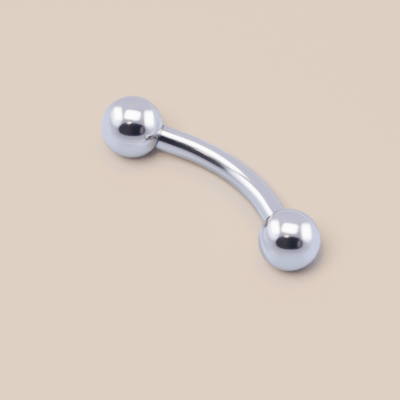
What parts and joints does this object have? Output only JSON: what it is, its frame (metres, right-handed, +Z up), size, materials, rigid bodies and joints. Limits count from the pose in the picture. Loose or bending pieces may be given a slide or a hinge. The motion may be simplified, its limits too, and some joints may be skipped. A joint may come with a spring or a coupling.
{
  "type": "curved eyebrow barbell",
  "caption": "Bent polished steel bar with a screw-on ball at each end, for an eyebrow or other surface piercing.",
  "frame": {"origin": "centre of the whole piece's box, at the surface that it lies on", "axes": "+X along the line through the ball centres, from the left ball to the right one; +Y towards the outer side of the bow; +Z up from the surface"},
  "size_m": [0.013, 0.0038, 0.003],
  "materials": {
    "bar_steel": "polished surgical steel",
    "ball_steel": "polished surgical steel"
  },
  "bodies": {
    "bar": {"curved_bar": "bar_steel"},
    "left_end": {"left_ball": "ball_steel"},
    "right_end": {"right_ball": "ball_steel"}
  },
  "joints": [
    {"name": "left_ball_off", "type": "slide", "parent": "bar", "child": "left_end", "axis": [-0.8763, -0.4263, 0.2244], "range_m": [0, 0.0022]},
    {"name": "right_ball_off", "type": "slide", "parent": "bar", "child": "right_end", "axis": [0.8763, -0.4263, 0.2244], "range_m": [0, 0.0022]}
  ]
}
